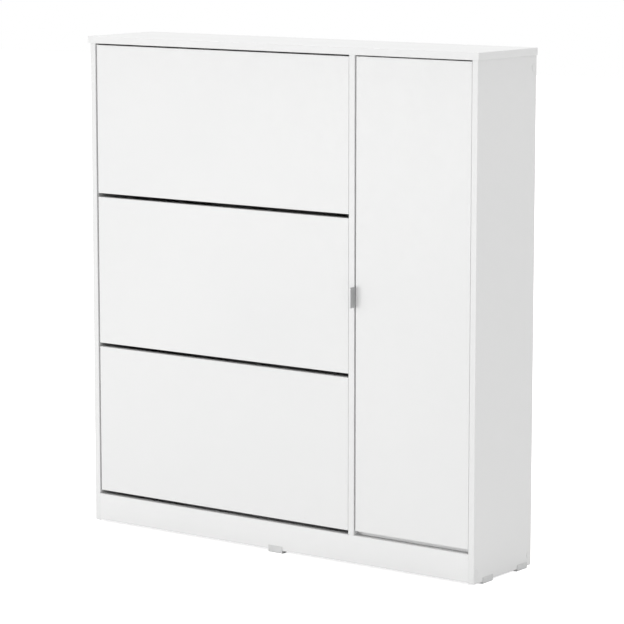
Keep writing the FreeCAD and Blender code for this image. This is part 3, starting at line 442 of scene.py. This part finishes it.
def threaded(outer, start, end, pitch, bite):
    # the teeth of a thread, as a turned profile from start down to end
    teeth = []
    height = start
    while height - pitch > end:
        teeth += [(outer - bite, height), (outer, height - pitch / 2)]
        height -= pitch
    return teeth + [(outer - bite, height)]


def screwProfile(head, headHeight, shank, length, style):
    # style: flat, for a countersunk head; dome, for one that stands on its sheet
    if style == "dome":
        top = [(0.62 * head, 0), (0.85 * head, -0.25 * headHeight), (head, -0.7 * headHeight),
               (head, -headHeight), (shank, -headHeight)]
    else:
        top = [(0.94 * head, 0), (head, -0.08 * headHeight), (head, -0.2 * headHeight),
               (shank, -headHeight)]
    thread = threaded(shank, -headHeight - 0.4 * mm, -length + 1.8 * shank, 0.55 * shank, 0.24 * shank)
    return top + thread + [(0.3 * shank, -length + 0.6 * shank), (0, -length)]


def nailProfile(head, headHeight, shank, length):
    return [(0, 0), (0.8 * head, 0), (head, -0.25 * headHeight), (head, -headHeight),
            (shank, -headHeight), (shank, -length + 2 * shank), (0, -length)]


def boltProfile(head, length, pitch, bite):
    # a cam bolt: ball end, neck, collar and the thread that goes up into the top panel
    neck = 0.6 * head
    ball = [(0, 0), (neck, 0), (head, -0.6 * mm), (head, -1.6 * mm), (neck, -2.6 * mm)]
    collar = [(neck, -0.70 * length), (head, -0.72 * length)]
    thread = threaded(head, -0.76 * length, -length, pitch, bite)
    return ball + collar + thread + [(0, -length)]


def pinProfile(radius, length, bevel):
    return [(0, 0), (radius - bevel, 0), (radius, -bevel), (radius, -length + bevel),
            (radius - bevel, -length), (0, -length)]


def capProfile(radius, height):
    # a flat dome whose rim stands a little clear of the board
    dome = [(0, 0), (0.5 * radius, -0.04 * height), (0.88 * radius, -0.14 * height)]
    rim = [(0.97 * radius, -0.18 * height), (radius, -0.22 * height), (radius, -0.26 * height)]
    return dome + rim + [(0.93 * radius, -0.3 * height), (0.93 * radius, -height), (0, -height)]


def camProfile(radius, length, bevel, rim, waistDepth):
    # a cam lock: bevelled rim at its face, then a body that is a little narrower
    waist = radius - waistDepth
    return [(radius - 2 * bevel, 0), (radius, -bevel), (radius, -rim), (waist, -rim - bevel),
            (waist, -length), (0, -length)]


mergeReach = 0.005 * mm
endBand = 0.12    # share of a fastener's length that counts as its end


def meshIslands(name):
    # the corner points of each separate solid of a CAD node
    shape = bmesh.new()
    shape.from_mesh(frame["nodes"][name].data)
    bmesh.ops.remove_doubles(shape, verts=shape.verts, dist=mergeReach)
    seen, islands = set(), []
    for start in shape.verts:
        if start.index in seen:
            continue
        seen.add(start.index)
        waiting, points = [start], []
        while waiting:
            corner = waiting.pop()
            points.append(corner.co.copy())
            for edge in corner.link_edges:
                other = edge.other_vert(corner)
                if other.index not in seen:
                    seen.add(other.index)
                    waiting.append(other)
        islands.append(points)
    shape.free()
    return islands


def readPlace(points, headAtWiderEnd=True):
    # a turned solid's axis is the way whose other two extents are equal
    low = Vector(min(point[i] for point in points) for i in range(3))
    high = Vector(max(point[i] for point in points) for i in range(3))
    size, centre = high - low, (low + high) / 2
    axis = min(range(3), key=lambda way: abs(size[(way + 1) % 3] - size[(way + 2) % 3]))
    band = endBand * size[axis]

    def reachNear(level):
        others = [way for way in range(3) if way != axis]
        near = [point for point in points if abs(point[axis] - level) <= band]
        return max(math.hypot(*(point[way] - centre[way] for way in others)) for point in near)

    sign = 1 if reachNear(high[axis]) >= reachNear(low[axis]) else -1
    if not headAtWiderEnd:
        sign = -sign
    aim = Vector((0, 0, 0))
    aim[axis] = sign
    top = centre.copy()
    top[axis] = high[axis] if sign > 0 else low[axis]
    return {"top": top, "aim": aim, "length": size[axis], "radius": size[(axis + 1) % 3] / 2}


def buildPlacingTree():
    # copies a template onto points, its +Z along each point's aim, turned by a seeded amount
    tree = bpy.data.node_groups.new("placeFasteners", "GeometryNodeTree")
    tree.is_modifier = True
    for name, kind in (("Places", "Geometry"), ("Template", "Object"), ("Size", "Float"),
                       ("Most Turn", "Float"), ("Seed", "Int"), ("Finish", "Material")):
        tree.interface.new_socket(name, in_out="INPUT", socket_type="NodeSocket" + kind)
    tree.interface.new_socket("Fasteners", in_out="OUTPUT", socket_type="NodeSocketGeometry")
    given = addNode(tree, "NodeGroupInput").outputs
    result = addNode(tree, "NodeGroupOutput")
    template = addNode(tree, "GeometryNodeObjectInfo", transform_space="ORIGINAL")
    aim = addNode(tree, "GeometryNodeInputNamedAttribute", {"Name": "aim"}, data_type="FLOAT_VECTOR")
    align = addNode(tree, "FunctionNodeAlignRotationToVector", axis="Z")
    amount = addNode(tree, "FunctionNodeRandomValue", data_type="FLOAT")
    spin = addNode(tree, "FunctionNodeAxisAngleToRotation", {"Axis": (0, 0, 1)})
    both = addNode(tree, "FunctionNodeRotateRotation", rotation_space="LOCAL")
    copies = addNode(tree, "GeometryNodeInstanceOnPoints")
    solid = addNode(tree, "GeometryNodeRealizeInstances")
    finish = addNode(tree, "GeometryNodeSetMaterial")
    amountOut = next(socket for socket in amount.outputs if socket.type == "VALUE")
    amountMost = next(socket for socket in amount.inputs
                      if socket.name == "Max" and socket.type == "VALUE")
    for source, target in (
            (given["Template"], template.inputs["Object"]),
            (aim.outputs["Attribute"], align.inputs["Vector"]),
            (given["Most Turn"], amountMost), (given["Seed"], amount.inputs["Seed"]),
            (amountOut, spin.inputs["Angle"]),
            (align.outputs["Rotation"], both.inputs["Rotation"]),
            (spin.outputs["Rotation"], both.inputs["Rotate By"]),
            (given["Places"], copies.inputs["Points"]),
            (template.outputs["Geometry"], copies.inputs["Instance"]),
            (both.outputs["Rotation"], copies.inputs["Rotation"]),
            (given["Size"], copies.inputs["Scale"]),
            (copies.outputs["Instances"], solid.inputs["Geometry"]),
            (solid.outputs["Geometry"], finish.inputs["Geometry"]),
            (given["Finish"], finish.inputs["Material"]),
            (finish.outputs["Geometry"], result.inputs["Fasteners"])):
        tree.links.new(source, target)
    return tree


placingTree = buildPlacingTree()


def socketOf(tree, name):
    return next(item.identifier for item in tree.interface.items_tree
                if item.name == name and item.in_out == "INPUT")


def placeCopies(name, mesh, places, finish, seed):
    carrierMesh = bpy.data.meshes.new(name + "Places")
    carrierMesh.from_pydata([place["top"] for place in places], [], [])
    aims = carrierMesh.attributes.new("aim", "FLOAT_VECTOR", "POINT")
    for item, place in zip(aims.data, places):
        item.vector = place["aim"]
    carrier = bpy.data.objects.new(name + "Places", carrierMesh)
    template = bpy.data.objects.new(name + "Template", mesh)
    scene.collection.objects.link(carrier)
    scene.collection.objects.link(template)
    modifier = carrier.modifiers.new("placing", "NODES")
    modifier.node_group = placingTree
    for label, setting in (("Template", template), ("Size", 1.0), ("Most Turn", 2 * math.pi),
                           ("Seed", seed), ("Finish", finish)):
        modifier[socketOf(placingTree, label)] = setting
    bpy.context.view_layer.update()
    graph = bpy.context.evaluated_depsgraph_get()
    baked = bpy.data.meshes.new_from_object(carrier.evaluated_get(graph))
    baked.name = name
    piece = bpy.data.objects.new(name, baked)
    scene.collection.objects.link(piece)
    bpy.data.objects.remove(carrier)
    bpy.data.objects.remove(template)
    return piece


crossOf = {"small": {"reach": 1.9 * mm, "width": 0.9 * mm, "depth": 1.3 * mm},
           "large": {"reach": 2.8 * mm, "width": 1.2 * mm, "depth": 2.0 * mm},
           "cam": {"reach": 4.6 * mm, "width": 1.8 * mm, "depth": 2.4 * mm}}
screwSides = 24


def screwMesh(name, place, headHeight, shank, style, cross):
    profile = screwProfile(place["radius"], headHeight, shank, place["length"], style)
    return turnedMesh(name, profile, screwSides, recess=crossOf[cross])


def nailMesh(name, place, headHeight, shank, sides):
    return turnedMesh(name, nailProfile(place["radius"], headHeight, shank, place["length"]), sides)


def pinMesh(name, place, bevel, sides, flute=0.0):
    return turnedMesh(name, pinProfile(place["radius"], place["length"], bevel), sides, flute)


def capMesh(name, place, sides):
    return turnedMesh(name, capProfile(place["radius"], place["length"]), sides)


def camMesh(name, place, bevel, rim, waistDepth, sides, cross):
    profile = camProfile(place["radius"], place["length"], bevel, rim, waistDepth)
    return turnedMesh(name, profile, sides, recess=crossOf[cross])


def boltMesh(name, place, pitch, bite, sides):
    return turnedMesh(name, boltProfile(place["radius"], place["length"], pitch, bite), sides)


flapScrew = {"make": screwMesh, "headHeight": 1.9 * mm, "shank": 1.75 * mm, "style": "flat",
             "cross": "small"}
fastenerKinds = {
    "carcass_screws": {"make": screwMesh, "headHeight": 2.6 * mm, "shank": 3 * mm, "style": "flat",
                       "cross": "large"},
    "hinge_plate_screws": {"make": screwMesh, "headHeight": 2 * mm, "shank": 2 * mm, "style": "flat",
                           "cross": "small"},
    "door_screws": {"make": screwMesh, "headHeight": 1.4 * mm, "shank": 1.75 * mm, "style": "dome",
                    "cross": "small"},
    "bottom_flap_screws": flapScrew, "middle_flap_screws": flapScrew, "top_flap_screws": flapScrew,
    "sheet_nails": {"make": nailMesh, "headHeight": 0.5 * mm, "shank": 0.8 * mm, "sides": 12},
    "glide_nails": {"make": nailMesh, "headHeight": 0.9 * mm, "shank": 1.1 * mm, "sides": 16},
    "cover_caps": {"make": capMesh, "sides": 40},
    "cam_locks": {"make": camMesh, "bevel": 0.4 * mm, "rim": 1.2 * mm, "waistDepth": 0.6 * mm,
                  "sides": 32, "cross": "cam"},
    "cam_bolts": {"make": boltMesh, "pitch": 1.3 * mm, "bite": 0.6 * mm, "sides": 20},
    "dowels": {"make": pinMesh, "bevel": 1 * mm, "sides": 32, "flute": 0.06},
    "shelf_pins": {"make": pinMesh, "bevel": 0.5 * mm, "sides": 20},
    "flap_stop_pins": {"make": pinMesh, "bevel": 0.8 * mm, "sides": 28},
}


def setFasteners(node, kind, seed):
    places = [readPlace(points, node != "cam_bolts") for points in meshIslands(node)]
    words = node.split("_")
    name = words[0] + "".join(word.capitalize() for word in words[1:])
    look = {key: amount for key, amount in kind.items() if key != "make"}
    mesh = kind["make"](name + "Shape", places[0], **look)
    piece = placeCopies(name, mesh, places, finishes[slotFinish[slotOfNode[node]]], seed)
    body = next(body for body, nodes in frame["record"]["behaviour"]["bodies"].items() if node in nodes)
    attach(piece, body)
    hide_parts(node)
    return len(places)


firstSeed = 3
for seed, (nodeName, kind) in enumerate(fastenerKinds.items(), start=firstSeed):
    print(nodeName, setFasteners(nodeName, kind, seed), "copies")


# two adjusting screws on each hinge arm
adjusters = {"head": 2.6 * mm, "headHeight": 1.1 * mm, "shank": 1.6 * mm, "length": 4.5 * mm,
             "behindFront": (12 * mm, 40 * mm), "proud": 0.9 * mm, "seed": 31}
adjusterBand = 1 * mm    # of an arm's rear end and of its side at the panel


def setAdjusters(setup):
    places = []
    for points in meshIslands("hinge_arms"):
        low = Vector(min(point[i] for point in points) for i in range(3))
        high = Vector(max(point[i] for point in points) for i in range(3))
        innerFace = min(point.x for point in points if point.y > high.y - adjusterBand)
        bridge = min(point.y for point in points if point.x > high.x - adjusterBand)
        for depth in setup["behindFront"]:
            top = Vector((innerFace - setup["proud"], bridge + depth, (low.z + high.z) / 2))
            places.append({"top": top, "aim": Vector((-1, 0, 0)), "length": setup["length"],
                           "radius": setup["head"]})
    mesh = screwMesh("hingeAdjustersShape", places[0], setup["headHeight"], setup["shank"],
                     "dome", "small")
    piece = placeCopies("hingeAdjusters", mesh, places, finishes["zincPlatedSteel"], setup["seed"])
    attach(piece, "carcass")
    return len(places)


print("hinge arms have", setAdjusters(adjusters), "adjusting screws")
